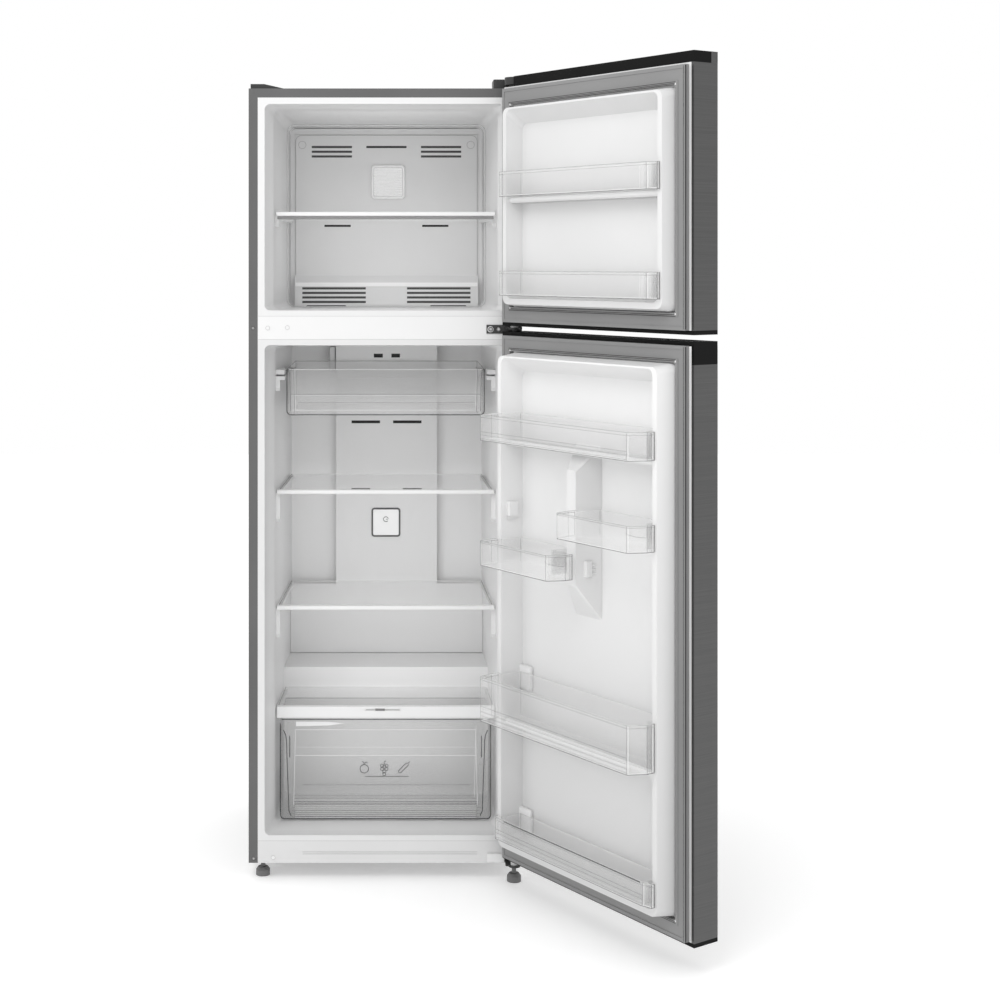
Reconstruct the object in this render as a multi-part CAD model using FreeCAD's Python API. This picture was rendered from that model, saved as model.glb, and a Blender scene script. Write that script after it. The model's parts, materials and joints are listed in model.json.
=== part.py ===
"""Free-standing two-door refrigerator with the freezer compartment on top, both doors standing open.

Everything is drawn with the cabinet's front plane at y = 0 and the floor at z = 0, with x = 0 in the
middle of the cabinet, and save() then moves it back so that the origin is the middle of the cabinet's
footprint. Millimetres, +Z up, -Y towards the person who opens the doors. Both doors are drawn closed
and then turned about their shared hinge axis to the angle at which they stand.
"""
import FreeCAD, Part
import math
import os

# ---- driving dimensions ----
cabinet_width = 600.0
cabinet_depth = 560.0
cabinet_top = 1737.0
cabinet_bottom = 37.0
sheet = 1.0
flange_width = 20.0
liner_wall = 2.0

fridge_floor = 97.5
fridge_ceiling = 1173.5
freezer_floor = 1249.5
freezer_ceiling = 1703.0
mullion_low = 1186.0
mullion_high = 1237.0
base_panel_top = 85.5
mouth_half = 265.0
liner_depth = 480.0

hump_front = 300.0
hump_top = 396.0
machine_front = 330.0
machine_top = 345.0
deck_low = 43.0
deck_high = 45.0
machine_sheet = 1.5
ledge_root = 270.0

door_half = 296.5
door_back = -12.0
door_front = -76.0
fridge_door_low = 59.0
fridge_door_high = 1205.0
freezer_door_low = 1217.5
freezer_door_high = 1757.0
freezer_skin_low = 1226.0
freezer_skin_high = 1735.0
fridge_skin_low = 67.0
rest_opening = 124.0
hinge_x = 281.0
hinge_y = -32.5
pin_radius = 4.5
running_gap = 0.06
fridge_dike = 50.0
freezer_dike = 37.0

clear_wall = 2.4
fan_z = 1590.0
fan_y = 424.0

half = cabinet_width / 2
axis_x = FreeCAD.Vector(1, 0, 0)
axis_y = FreeCAD.Vector(0, 1, 0)
axis_z = FreeCAD.Vector(0, 0, 1)


# ---- building blocks ----
def vec(x, y, z):
    return FreeCAD.Vector(x, y, z)


def box(x_range, y_range, z_range):
    sizes = [high - low for low, high in (x_range, y_range, z_range)]
    return Part.makeBox(*sizes, vec(x_range[0], y_range[0], z_range[0]))


def cylinder(radius, height, start, direction=axis_z):
    return Part.makeCylinder(radius, height, start, direction)


def fuse(shapes):
    joined = shapes[0]
    if len(shapes) > 1:
        joined = joined.fuse(shapes[1:])
    return joined.removeSplitter()


def mirrored(shape):
    """The same piece on the other side of the cabinet's middle."""
    return shape.mirror(vec(0, 0, 0), axis_x)


def both_sides(shape):
    return [shape, mirrored(shape)]


def rounded(shape, radius, picks):
    """Rounds the straight edges that the test picks, given an edge's two ends."""
    edges = [e for e in shape.Edges if len(e.Vertexes) == 2 and picks(e.Vertexes[0].Point, e.Vertexes[1].Point)]
    return shape.makeFillet(radius, edges)


def is_along(a, b, axis):
    """Is the edge from a to b parallel to the axis?"""
    return (b - a).cross(axis).Length < 1e-6


def rectangle(y, half_width, low, high, radius):
    """A rounded rectangle across the cabinet at depth y, as a wire."""
    corners = [(half_width, high), (-half_width, high), (-half_width, low), (half_width, low)]
    centres = [(math.copysign(half_width - radius, x), z - math.copysign(radius, z - low - 1))
               for x, z in corners]
    edges = []
    for number, (x, z) in enumerate(centres):
        start = math.radians(90 * number)
        on_arc = [vec(x + radius * math.cos(start + part), y, z + radius * math.sin(start + part))
                  for part in (0, math.pi / 4, math.pi / 2)]
        edges.append(Part.Arc(*on_arc).toShape())
    joined = []
    for number, edge in enumerate(edges):
        following = edges[(number + 1) % 4]
        joined.append(edge)
        joined.append(Part.LineSegment(edge.Vertexes[-1].Point, following.Vertexes[0].Point).toShape())
    return Part.Wire(joined)


def tub(sections, grow=0.0):
    """A solid through rounded rectangles given as (y, half width, low, high, radius), grown outwards."""
    wires = [rectangle(y, w + grow, low - grow, high + grow, r + grow) for y, w, low, high, r in sections]
    return Part.makeLoft(wires, True, True)


def across(outline, x_range):
    """An outline of (y, z) points run across the cabinet."""
    wire = Part.makePolygon([vec(x_range[0], y, z) for y, z in outline + outline[:1]])
    return Part.Face(wire).extrude(vec(x_range[1] - x_range[0], 0, 0))


def upright(outline, z_range):
    """An outline of (x, y) points run upwards."""
    wire = Part.makePolygon([vec(x, y, z_range[0]) for x, y in outline + outline[:1]])
    return Part.Face(wire).extrude(vec(0, 0, z_range[1] - z_range[0]))


def tube_along(points, radius, bend):
    """A round tube through the points, with an arc of the bend radius at each corner."""
    edges = []
    start = points[0]
    for before, corner, after in zip(points, points[1:], points[2:]):
        into = (corner - before).normalize()
        out = (after - corner).normalize()
        turn = into.getAngle(out)
        cut = bend * math.tan(turn / 2)
        first = corner - into * cut
        last = corner + out * cut
        inward = (out - into).normalize()
        middle = corner + inward * (bend / math.cos(turn / 2) - bend)
        edges.append(Part.LineSegment(start, first).toShape())
        edges.append(Part.Arc(first, middle, last).toShape())
        start = last
    edges.append(Part.LineSegment(start, points[-1]).toShape())
    heading = points[1] - points[0]
    profile = Part.Wire(Part.makeCircle(radius, points[0], heading))
    return Part.Wire(edges).makePipeShell([profile], True, True)


def save(node, shapes, turned=False):
    """Writes one node, moved from the front plane to the middle of the footprint."""
    shapes = shapes if isinstance(shapes, list) else [shapes]
    placed = []
    for shape in shapes:
        for solid in shape.Solids:
            piece = solid.copy()
            if turned:
                piece.rotate(vec(hinge_x, hinge_y, 0), axis_z, rest_opening)
            piece.translate(vec(0, -cabinet_depth / 2, 0))
            placed.append(piece)
    whole = placed[0] if len(placed) == 1 else Part.makeCompound(placed)
    if not whole.isValid():
        print("not valid:", node)
    whole.exportStep("parts/" + node + ".step")


# ---- cabinet walls ----
fridge_sections = [
    (0.0, mouth_half, fridge_floor, fridge_ceiling, 12.0),
    (80.0, 249.0, 96.0, 1168.0, 14.0),
    (liner_depth, 235.0, 96.0, 1160.0, 20.0),
]
freezer_sections = [
    (0.0, mouth_half, freezer_floor, freezer_ceiling, 12.0),
    (60.0, 250.0, 1248.0, 1697.0, 14.0),
    (liner_depth, 232.0, 1246.0, 1680.0, 20.0),
]


def fridge_wall_at(y):
    """Half the fridge compartment's width at depth y, behind its flared mouth."""
    return 249.0 - 14.0 * (y - 80.0) / (liner_depth - 80.0)


def freezer_wall_at(y):
    return 250.0 - 18.0 * (y - 60.0) / (liner_depth - 60.0)


def compartment(sections, grow):
    """The space of a compartment, or its liner's outside when grown."""
    deeper = sections[:-1] + [(sections[-1][0] + grow,) + sections[-1][1:]]
    return tub(deeper, grow)


def fridge_space(grow):
    """The fridge compartment, stepped over the machine room at the back of its floor."""
    hump = box((-half, half), (hump_front + grow, cabinet_depth), (0, hump_top - grow))
    return compartment(fridge_sections, grow).cut(hump)


def make_outer_shell():
    side = box((half - sheet, half), (0, cabinet_depth), (cabinet_bottom, cabinet_top))
    flange = box((half - flange_width, half), (0, sheet), (cabinet_bottom, cabinet_top))
    lip = box((half - 14, half), (cabinet_depth - sheet, cabinet_depth), (cabinet_bottom, cabinet_top))
    top = box((-half, half), (0, cabinet_depth), (cabinet_top - sheet, cabinet_top))
    top_flange = box((-half, half), (0, sheet), (cabinet_top - flange_width, cabinet_top))
    return fuse(both_sides(side) + both_sides(flange) + both_sides(lip) + [top, top_flange])


def make_flange_ring(low, high, opening):
    inner_half = half - flange_width
    ring = box((-inner_half, inner_half), (0, liner_wall), (low, high))
    return ring.cut(opening)


def shelf_bracket(wall_at, shelf_low, front, back, tip):
    """A ledge moulded on the right wall under a shelf, with a gusset running down at its front."""
    reach = 9
    outline = [(front, shelf_low), (back, shelf_low), (back, shelf_low - reach),
               (front + 62, shelf_low - reach), (front + 6, shelf_low - tip), (front, shelf_low - tip + 8)]
    inner_front = wall_at(front) - reach
    inner_back = wall_at(back) - reach
    slab = across(outline, (inner_back - 1, ledge_root))
    plan_outline = [(inner_front, front - 1), (inner_back, back + 1),
                    (ledge_root, back + 1), (ledge_root, front - 1)]
    plan = upright(plan_outline, (shelf_low - tip - 1, shelf_low + 1))
    return slab.common(plan)


# heights of the shelves' undersides, which their ledges carry
ledge_gap = 0.3
upper_shelf_low = 834.0
lower_shelf_low = 573.0
cover_glass_low = 348.5
freezer_shelf_low = 1460.0
chiller_rim_low = 1098.0


def make_fridge_liner():
    space = fridge_space(0.0)
    outside = fridge_space(liner_wall)
    shell = outside.cut(space)
    ring = make_flange_ring(base_panel_top, mullion_low, space)
    ledges = []
    for low, back, tip in ((upper_shelf_low, 430, 66), (lower_shelf_low, 430, 66), (cover_glass_low, 284, 22)):
        ledges += both_sides(shelf_bracket(fridge_wall_at, low - ledge_gap, 112, back, tip))
    rail_low = shelf_bracket(fridge_wall_at, chiller_rim_low - ledge_gap, 112, 420, 34)
    rail_reach = box((228, ledge_root), (112, 420), (chiller_rim_low - 9, chiller_rim_low - ledge_gap))
    guide = box((229, ledge_root), (112, 160), (chiller_rim_low + 4, chiller_rim_low + 14))
    for piece in (rail_low, rail_reach, guide):
        ledges += both_sides(piece)
    kept = [ledge.common(outside) for ledge in ledges]
    return fuse([shell, ring] + kept)


def make_freezer_liner():
    space = compartment(freezer_sections, 0.0)
    outside = compartment(freezer_sections, liner_wall)
    ring = make_flange_ring(mullion_high, cabinet_top - flange_width, space)
    ledges = both_sides(shelf_bracket(freezer_wall_at, freezer_shelf_low - ledge_gap, 92, 400, 24))
    kept = [ledge.common(outside) for ledge in ledges]
    return fuse([outside.cut(space), ring] + kept)


left_foot = (-271.0, 35.0)
right_foot = (282.0, -6.0)


def make_cabinet_foam():
    inner = half - sheet
    block = box((-inner, inner), (liner_wall, cabinet_depth - 2), (deck_high, cabinet_top - sheet))
    machine_room = box((-half, half), (machine_front, cabinet_depth), (0, machine_top + machine_sheet))
    foot_pocket = cylinder(7, 14, vec(left_foot[0], left_foot[1], deck_high))
    removed = [machine_room, foot_pocket, fridge_space(liner_wall), compartment(freezer_sections, liner_wall)]
    return block.cut(removed)


def make_mullion_cover():
    inner_half = half - flange_width
    return box((-inner_half, inner_half), (0, liner_wall), (mullion_low, mullion_high))


def make_base_panel():
    inner_half = half - flange_width
    panel = box((-inner_half, inner_half), (0, liner_wall), (cabinet_bottom, base_panel_top))
    slot = box((-180, 200), (-1, 0.8), (57, 61))
    return panel.cut(slot)


def make_back_panel():
    inner = half - sheet
    return box((-inner, inner), (cabinet_depth - 2, cabinet_depth - 1), (300, cabinet_top - sheet))


roller_y = 500.0
roller_x = 262.0
roller_radius = 15.0


def roller_carrier():
    """Two ears under the deck with the axle of the right-hand rear roller."""
    ears = [box((x, x + 2), (roller_y - 8, roller_y + 8), (roller_radius - 8, deck_low))
            for x in (roller_x - 14, roller_x + 12)]
    axle = cylinder(4.0, 28, vec(roller_x - 14, roller_y, roller_radius), axis_x)
    return fuse(ears + [axle])


def make_base_plate():
    inner = half - sheet
    deck = box((-inner, inner), (liner_wall, cabinet_depth - 4), (deck_low, deck_high))
    riser = box((-inner, inner), (machine_front, machine_front + machine_sheet), (deck_high, machine_top))
    roof = box((-inner, inner), (machine_front, cabinet_depth - 4), (machine_top, machine_top + machine_sheet))
    foot_hole = cylinder(5 + running_gap, 20, vec(left_foot[0], left_foot[1], deck_low - 5))
    return fuse([deck, riser, roof] + both_sides(roller_carrier())).cut(foot_hole)


# ---- machine room ----
compressor_x = 70.0
compressor_y = 445.0
mount_height = 14.0


def make_compressor():
    low = deck_high + mount_height
    can = cylinder(76, 150, vec(compressor_x, compressor_y, low + 4))
    can = can.makeFillet(44, [e for e in can.Edges if e.BoundBox.ZMin > low + 150])
    can = can.makeFillet(20, [e for e in can.Edges if e.BoundBox.ZMax < low + 10])
    seam = cylinder(79, 5, vec(compressor_x, compressor_y, low + 84))
    plate_y = (compressor_y - 62, compressor_y + 62)
    plate = box((compressor_x - 105, compressor_x + 105), plate_y, (low, low + 5))
    relay_y = (compressor_y - 28, compressor_y + 28)
    relay = box((compressor_x - 100, compressor_x - 60), relay_y, (low + 40, low + 110))
    return fuse([can, seam, plate, relay])


def make_compressor_mounts():
    """Rubber bushes between the compressor's plate and the deck, one at each corner."""
    feet = []
    for side in (-1, 1):
        for end in (-1, 1):
            start = vec(compressor_x + side * 90, compressor_y + end * 48, deck_high)
            feet.append(cylinder(12, mount_height, start))
    return feet


def make_drain_pan():
    """The pan over the compressor that catches defrost water."""
    outer = box((compressor_x - 110, compressor_x + 110), (compressor_y - 85, compressor_y + 85), (262, 300))
    inner = box((compressor_x - 108, compressor_x + 108), (compressor_y - 83, compressor_y + 83), (264, 301))
    bracket_y = (machine_front + machine_sheet, compressor_y - 85)
    bracket = box((compressor_x - 40, compressor_x + 40), bracket_y, (280, 284))
    return fuse([outer.cut(inner), bracket])


gland_x = -232.0
gland_z = 100.0


def make_machine_cover():
    """The slotted cover that closes the machine room at the back."""
    cover = box((-half + sheet, half - sheet), (cabinet_depth - 4, cabinet_depth - 2.5), (deck_low, 299.5))
    slots = []
    for column in range(4):
        for row in range(6):
            x = -150 + column * 100
            z = 120 + row * 26
            slots.append(box((x, x + 70), (cabinet_depth - 5, cabinet_depth), (z, z + 8)))
    hole = cylinder(10, 20, vec(gland_x, cabinet_depth - 14, gland_z), axis_y)
    return cover.cut(slots + [hole])


def make_mains_inlet():
    """The gland that the mains lead would pass through."""
    flange = cylinder(15, 3, vec(gland_x, cabinet_depth - 2.5, gland_z), axis_y)
    sleeve = cylinder(9.9, 18, vec(gland_x, cabinet_depth - 18, gland_z), axis_y)
    bore = cylinder(4, 40, vec(gland_x, cabinet_depth - 25, gland_z), axis_y)
    return fuse([flange, sleeve]).cut(bore)


def make_refrigerant_pipes():
    """Condenser loops against both side panels, the drier and the two pipes at the compressor."""
    pipe_radius = 2.4
    loop_x = half - sheet - pipe_radius - 0.1
    points = []
    for run in range(5):
        y = 60 + run * 100
        ends = (420.0, 1640.0) if run % 2 == 0 else (1640.0, 420.0)
        points += [vec(loop_x, y, ends[0]), vec(loop_x, y, ends[1])]
    loop = tube_along(points, pipe_radius, 30.0)
    drier = cylinder(9, 110, vec(-120, 520, 120))
    drier = drier.makeFillet(4, drier.Edges[:1])
    top = deck_high + mount_height + 120
    side = compressor_x - 70
    suction = tube_along([vec(side, 500, top), vec(-70, 500, top), vec(-70, 500, 330)], 3.2, 20.0)
    outlet = tube_along([vec(side, 515, top - 25), vec(-120, 515, top - 25), vec(-120, 515, 230)], 2.4, 15.0)
    return both_sides(loop) + [fuse([drier, outlet]), suction]


# ---- cold air unit behind the freezer's back cover ----
def make_evaporator():
    """Finned coil with the sheathed defrost heater below it."""
    fins = [box((x, x + 1.2), (430, 470), (1330, 1500)) for x in range(-190, 191, 20)]
    rods = []
    for row in range(4):
        for y in (440, 460):
            rods.append(cylinder(4, 400, vec(-200, y, 1350 + row * 42), axis_x))
    heater_path = [vec(-195, 450, 1345), vec(-195, 450, 1312), vec(195, 450, 1312), vec(195, 450, 1345)]
    heater = tube_along(heater_path, 4, 14)
    return [fuse(fins + rods), heater]


def make_fan_motor():
    can = cylinder(24, 30, vec(0, 446, fan_z), axis_y)
    plate = box((-62, 62), (470, 473), (fan_z - 55, fan_z + 55))
    stand = box((-20, 20), (472, liner_depth), (fan_z - 20, fan_z + 20))
    shaft = cylinder(2.0, 24, vec(0, fan_y + 2, fan_z), axis_y)
    return fuse([can, plate, stand, shaft, cylinder(10, 26, vec(0, 446, fan_z), axis_y)])


def make_fan_blade():
    """A hub with five blades, each a slab set at an angle."""
    hub = cylinder(13, 14, vec(0, fan_y, fan_z), axis_y)
    blades = []
    for number in range(5):
        blade = box((-11, 11), (fan_y + 6, fan_y + 7.6), (fan_z + 10, fan_z + 46))
        blade.rotate(vec(0, fan_y + 6.8, fan_z), axis_z, 24)
        blade.rotate(vec(0, 0, fan_z), axis_y, 72 * number)
        blades.append(blade)
    bore = cylinder(2.0 + running_gap, 20, vec(0, fan_y - 1, fan_z), axis_y)
    return fuse([hub] + blades).cut(bore)


cover_y = 410.0
panel_wall = 2.5


def slots_through(x_ranges, z, height, y_range):
    return [box(x_range, y_range, (z - height / 2, z + height / 2)) for x_range in x_ranges]


def make_freezer_back_cover():
    """The panel in front of the evaporator, swelling forwards over its foot."""
    bulge = cover_y - 16
    outline = [(cover_y, 1665), (cover_y, 1322), (bulge, 1306), (bulge, 1250),
               (bulge + panel_wall, 1250), (bulge + panel_wall, 1304), (cover_y + panel_wall, 1320),
               (cover_y + panel_wall, 1665)]
    panel = across(outline, (-222, 222))
    sides = [across([(cover_y, 1665), (cover_y, 1322), (bulge, 1306), (bulge, 1250), (cover_y + 14, 1250),
                     (cover_y + 14, 1665)], (220, 222.5))]
    sides.append(mirrored(sides[0]))
    roof = box((-222, 222), (cover_y, cover_y + 14), (1663, 1666))
    deep = (bulge - 5, cover_y + 8)
    upper = [(84, 182), (-182, -84)]
    lower = [(50, 204), (-204, -50)]
    slots = []
    for z in (1613.0, 1624.5, 1636.0):
        slots += slots_through(upper, z, 5.4, deep)
    for z in (1259.0, 1270.0, 1281.0, 1292.0):
        slots += slots_through(lower, z, 5.4, deep)
    slots += slots_through([(-49, 49)], 1636.0, 5.0, deep)
    slots += slots_through([(87, 151), (-151, -87)], 1444.0, 5.0, deep)
    return fuse([panel, roof] + sides).cut(slots)


def rounded_plate(x_range, z_range, y_range, radius):
    plate = box(x_range, y_range, z_range)
    return rounded(plate, radius, lambda a, b: is_along(a, b, axis_y))


def badge(x_range, z_range, face_y, rim):
    """A square trim plate with a raised rim."""
    plate = rounded_plate(x_range, z_range, (face_y - 2.5, face_y), 7)
    pocket = rounded_plate((x_range[0] + rim, x_range[1] - rim), (z_range[0] + rim, z_range[1] - rim),
                           (face_y - 4, face_y - 1.6), 5)
    return plate.cut(pocket)


duct_y = 450.0
duct_half = 124.0


def make_air_duct():
    """The cold air duct up the middle of the fridge's back wall, thicker at its top."""
    bulge = duct_y - 20
    back = liner_depth - 1
    low = hump_top + 6
    outer = across([(back, low), (duct_y, low), (duct_y, 1072), (bulge, 1092), (bulge, 1154), (back, 1154)],
                   (-duct_half, duct_half))
    inner = across([(back + 1, low + 3), (duct_y + panel_wall, low + 3), (duct_y + panel_wall, 1073),
                    (bulge + panel_wall, 1093), (bulge + panel_wall, 1151), (back + 1, 1151)],
                   (-duct_half + panel_wall, duct_half - panel_wall))
    deep = (bulge - 5, duct_y + 10)
    slots = slots_through([(-31, -9), (12, 33)], 1127.0, 9.5, deep)
    slots += slots_through([(16, 86), (-86, -16)], 963.0, 7.0, deep)
    slots += slots_through([(40, 86), (-86, -40)], 797.0, 7.0, deep)
    return outer.cut([inner] + slots)


def make_duct_lamp():
    lens = box((-140, -duct_half - 1), (436, liner_depth - 1), (1088, 1148))
    return rounded(lens, 3, lambda a, b: is_along(a, b, axis_z) and a.y < 440)


# ---- hinges, covers and small parts on the cabinet ----
def pin(low, high):
    return cylinder(pin_radius, high - low, vec(hinge_x, hinge_y, low))


def hinge_arm(z_range, x_low=264.0, back=0.0):
    """A flat arm with a rounded end about the hinge axis."""
    reach = 13.0
    arm = box((x_low, 298), (hinge_y, back), z_range)
    end = cylinder(reach, z_range[1] - z_range[0], vec(hinge_x, hinge_y, z_range[0]))
    web = box((hinge_x - reach, hinge_x + reach), (hinge_y - 1, hinge_y + 1), z_range)
    return fuse([arm, end, web])


arm_low = 1209.5
arm_high = 1213.5


def make_middle_hinge():
    plate = box((222, 294), (-2.5, 0), (1199, 1218))
    pieces = [plate, hinge_arm((arm_low, arm_high)), pin(arm_high - 1, 1232), pin(1190, arm_low + 1)]
    return fuse(pieces)


def make_bottom_hinge():
    plate = box((225, 298), (-3, 0), (41, 57))
    arm = hinge_arm((41, 45), x_low=262.0)
    stem_hole = cylinder(5 + running_gap, 20, vec(right_foot[0], right_foot[1], 35))
    return fuse([plate, arm, pin(44, 72)]).cut(stem_hole)


def make_top_hinge():
    plate = hinge_arm((cabinet_top, cabinet_top + 3), x_low=264.0, back=66.0)
    return fuse([plate, pin(1716, cabinet_top + 1)])


screw_height = 2.2


def screw(x, y, z, direction, head=4.5):
    """A screw's tapered head, standing on a surface."""
    return Part.makeCone(head, head * 0.6, screw_height, vec(x, y, z), direction)


def make_hinge_screws():
    heads = [screw(x, -2.5, 1208.5, -axis_y) for x in (231, 249)]
    heads += [screw(x, -3, 49, -axis_y, 3.6) for x in (233, 250)]
    heads += [screw(272, y, cabinet_top + 3, axis_z) for y in (18, 52)]
    heads.append(screw(290, 36, cabinet_top + 3, axis_z))
    heads.append(screw(-290, 0, 1211, -axis_y, 3.2))
    heads.append(screw(-289, 0, 47, -axis_y, 3.2))
    return heads


def make_hinge_bushes():
    """White bushes on the pins, which carry the doors."""
    bore = cylinder(pin_radius, 2000, vec(hinge_x, hinge_y, 0))
    low = cylinder(8.0, 13.5, vec(hinge_x, hinge_y, 45)).cut(bore)
    middle = cylinder(8.5, 3.6, vec(hinge_x, hinge_y, arm_high)).cut(bore)
    return [low, middle]


def make_hole_plugs():
    """Round plugs in the holes that hang the doors from the other side."""
    places = [(-258, 1211), (-215, 1212), (-246, 49)]
    return [cylinder(4.5, 1.2, vec(x, -1.2, z), axis_y) for x, z in places]


def make_top_covers():
    """The hinge's cover on the right and the blanking cap on the left."""
    cover_top = freezer_door_high
    block = box((238, half), (3, 75), (cabinet_top, cover_top))
    block = rounded(block, 6, lambda a, b: is_along(a, b, axis_z))
    tab_low = cabinet_top + 3.6
    tab = fuse([cylinder(21, cover_top - tab_low, vec(hinge_x, hinge_y, tab_low)),
                box((263, 299), (hinge_y, 20), (tab_low, cover_top))])
    tab = tab.common(box((200, 299), (-100, 60), (tab_low, cover_top)))
    pocket = box((241, 297), (6, 72), (cabinet_top - 1, cover_top - 4))
    cover = fuse([block, tab]).cut([pocket, hinge_arm((cabinet_top - 1, tab_low), 263.0, 67.0)])
    outline = [(-296, cabinet_top), (-296, cabinet_top + 10), (-266, cabinet_top + 10), (-222, cabinet_top)]
    wire = Part.makePolygon([vec(x, 3, z) for x, z in outline + outline[:1]])
    cap = Part.Face(wire).extrude(vec(0, 70, 0))
    return [cover, cap]


# ---- feet and rollers ----
def make_foot(place):
    disc = cylinder(15.5, 12, vec(place[0], place[1], 0))
    neck = Part.makeCone(15.5, 11, 6, vec(place[0], place[1], 12))
    stem = cylinder(5, 34, vec(place[0], place[1], 18))
    return fuse([disc, neck, stem])


def make_roller():
    wheel = cylinder(roller_radius, 20, vec(roller_x - 10, roller_y, roller_radius), axis_x)
    bore = cylinder(4 + running_gap, 40, vec(roller_x - 20, roller_y, roller_radius), axis_x)
    return wheel.cut(bore)


# ---- shelves and drawers ----
glass = 4.0


def make_shelf_glass(wall_at, front, back, low):
    """Glass that narrows with the walls towards the back."""
    front_half = wall_at(front) - 3.5
    back_half = wall_at(back) - 3.5
    outline = [(-front_half, front), (front_half, front), (back_half, back), (-back_half, back)]
    return upright(outline, (low, low + glass))


def make_shelf_trim(half_width, front, back, low, high):
    trim = box((-half_width, half_width), (front, back), (low, high))
    return rounded(trim, 2.0, lambda a, b: is_along(a, b, axis_x) and a.y < front + 1)


def make_crisper_cover_trim():
    trim = make_shelf_trim(244.5, 98, 112, 328.5, 354.5)
    groove = box((-47, 34), (95, 101), (345, 350))
    return trim.cut(groove)


def make_humidity_slider():
    slider = box((-23, -2), (96.8, 100.7), (345.3, 349.7))
    return rounded(slider, 1.0, lambda a, b: is_along(a, b, axis_z) and a.y < 98)


def open_tray(x_half, y_range, z_range, wall, corner):
    """A tray open at its top, with rounded corners all round."""
    outer = box((-x_half, x_half), y_range, z_range)
    outer = rounded(outer, corner, lambda a, b: is_along(a, b, axis_z))
    outer = rounded(outer, corner * 0.8, lambda a, b: is_along(a, b, axis_y) and a.z < z_range[0] + 1)
    inner_half = x_half - wall
    inner_y = (y_range[0] + wall, y_range[1] - wall)
    inner = box((-inner_half, inner_half), inner_y, (z_range[0] + wall, z_range[1] + 5))
    inner = rounded(inner, corner - wall, lambda a, b: is_along(a, b, axis_z))
    return outer.cut(inner)


def make_crisper_drawer():
    tray = open_tray(238, (100, 291), (99.5, 326.5), clear_wall, 10)
    ribs = [box((-215, 215), (108 + 22 * n, 110 + 22 * n), (99.5, 103.5)) for n in range(8)]
    grips = []
    for side in (-1, 1):
        x = side * 219
        grips.append(box((x - 1.2, x + 1.2), (100.5, 104), (120, 318)))
    return fuse([tray] + ribs + grips)


def make_chiller_drawer():
    tray = open_tray(223, (100, 424), (1011, 1115), clear_wall, 10)
    rim = box((222, 233.5), (150, 420), (chiller_rim_low, chiller_rim_low + 3))
    return fuse([tray] + both_sides(rim))


# ---- doors ----
def door_block(low, high, inset=0.0):
    """The door's outline with its two front upright edges rounded."""
    block = box((-door_half + inset, door_half - inset), (door_front + inset, door_back), (low, high))
    return rounded(block, 4 - inset, lambda a, b: is_along(a, b, axis_z) and a.y < door_front + 2)


lip_width = 7.0


def make_door_skin(low, high):
    """Sheet steel wrapped round the front and both sides, with a lip folded in at the back."""
    hollow = door_block(low - 1, high + 1, sheet)
    skin = door_block(low, high).cut(hollow)
    lip = box((door_half - lip_width, door_half), (door_back - sheet, door_back), (low, high))
    return fuse([skin] + both_sides(lip))


def boss_block(low, high):
    """The block that carries a hinge bush inside a door's corner."""
    return box((264, door_half - sheet), (hinge_y - 17, hinge_y + 15), (low, high))


def pin_hole(low, high):
    return cylinder(pin_radius + running_gap, high - low, vec(hinge_x, hinge_y, low))


freezer_grip_pocket = ((-250.0, 200.0), (-70.0, -46.0), (freezer_door_low, 1246.0))
fridge_grip_pocket = ((-280.0, 252.0), (-69.0, -44.0), (1170.0, fridge_door_high))
pocket_wall = 2.0

# the fridge door's top moulding: full height in front of the split, thin behind it but for its ends
cap_low = 1161.0
cap_split = -36.0
cap_wall = 3.0
foam_high = 1196.0
cap_heights = (cap_low, fridge_door_high)


def grow_box(ranges, by):
    return [(low - by, high + by) for low, high in ranges]


def make_freezer_caps():
    """The closing mouldings at the top and bottom of the freezer door."""
    top = door_block(freezer_skin_high, freezer_door_high)
    corner = box((257, 300), (-80, 0), (freezer_skin_high, freezer_door_high + 1))
    stay = box((250, 264), (-48, -17), (1700, freezer_skin_high))
    top = fuse([top.cut(corner), boss_block(1700, freezer_skin_high), stay])
    top = top.cut(pin_hole(1713, 1760))
    bottom = door_block(freezer_door_low, freezer_skin_low)
    pocket_shell = box(*grow_box(freezer_grip_pocket, pocket_wall))
    pocket_shell = pocket_shell.common(box((-299, 299), (-80, 0), (freezer_skin_low, 1300)))
    bottom = fuse([bottom, pocket_shell, boss_block(freezer_skin_low, 1240)])
    mouth_z = (freezer_door_low - 1, freezer_grip_pocket[2][1])
    mouth = box(freezer_grip_pocket[0], freezer_grip_pocket[1], mouth_z)
    return [top, bottom.cut([mouth, pin_hole(1210, 1235)])]


def make_fridge_caps():
    """The top moulding, with its finger channel along the front, and the bottom one."""
    front_half = box((-half, half), (door_front - 1, cap_split), cap_heights)
    front_part = door_block(cap_low, fridge_door_high).common(front_half)
    rear_part = box((-door_half, door_half), (cap_split - 1, door_back), (foam_high, fridge_door_high))
    end = box((door_half - cap_wall, door_half), (cap_split - 1, door_back), cap_heights)
    top = fuse([front_part, rear_part, boss_block(1176, 1200)] + both_sides(end))
    slope = across([(-77, 1206), (-77, 1175), (-76, 1175), (-73.5, 1206)], (-300, 300))
    mouth = box(fridge_grip_pocket[0], fridge_grip_pocket[1], (fridge_grip_pocket[2][0], fridge_door_high + 1))
    top = top.cut([mouth, slope, pin_hole(1186, 1210)])
    bottom = fuse([door_block(fridge_door_low, fridge_skin_low), boss_block(fridge_skin_low, 84)])
    bottom = bottom.cut(pin_hole(50, 76))
    return [top, bottom]


def rect_prism(y_near, half_near, z_near, y_far, half_far, z_far, radius):
    """A solid between two rounded rectangles at two depths."""
    near = rectangle(y_near, half_near, z_near[0], z_near[1], radius)
    far = rectangle(y_far, half_far, z_far[0], z_far[1], radius)
    return Part.makeLoft([near, far], True, True)


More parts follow.
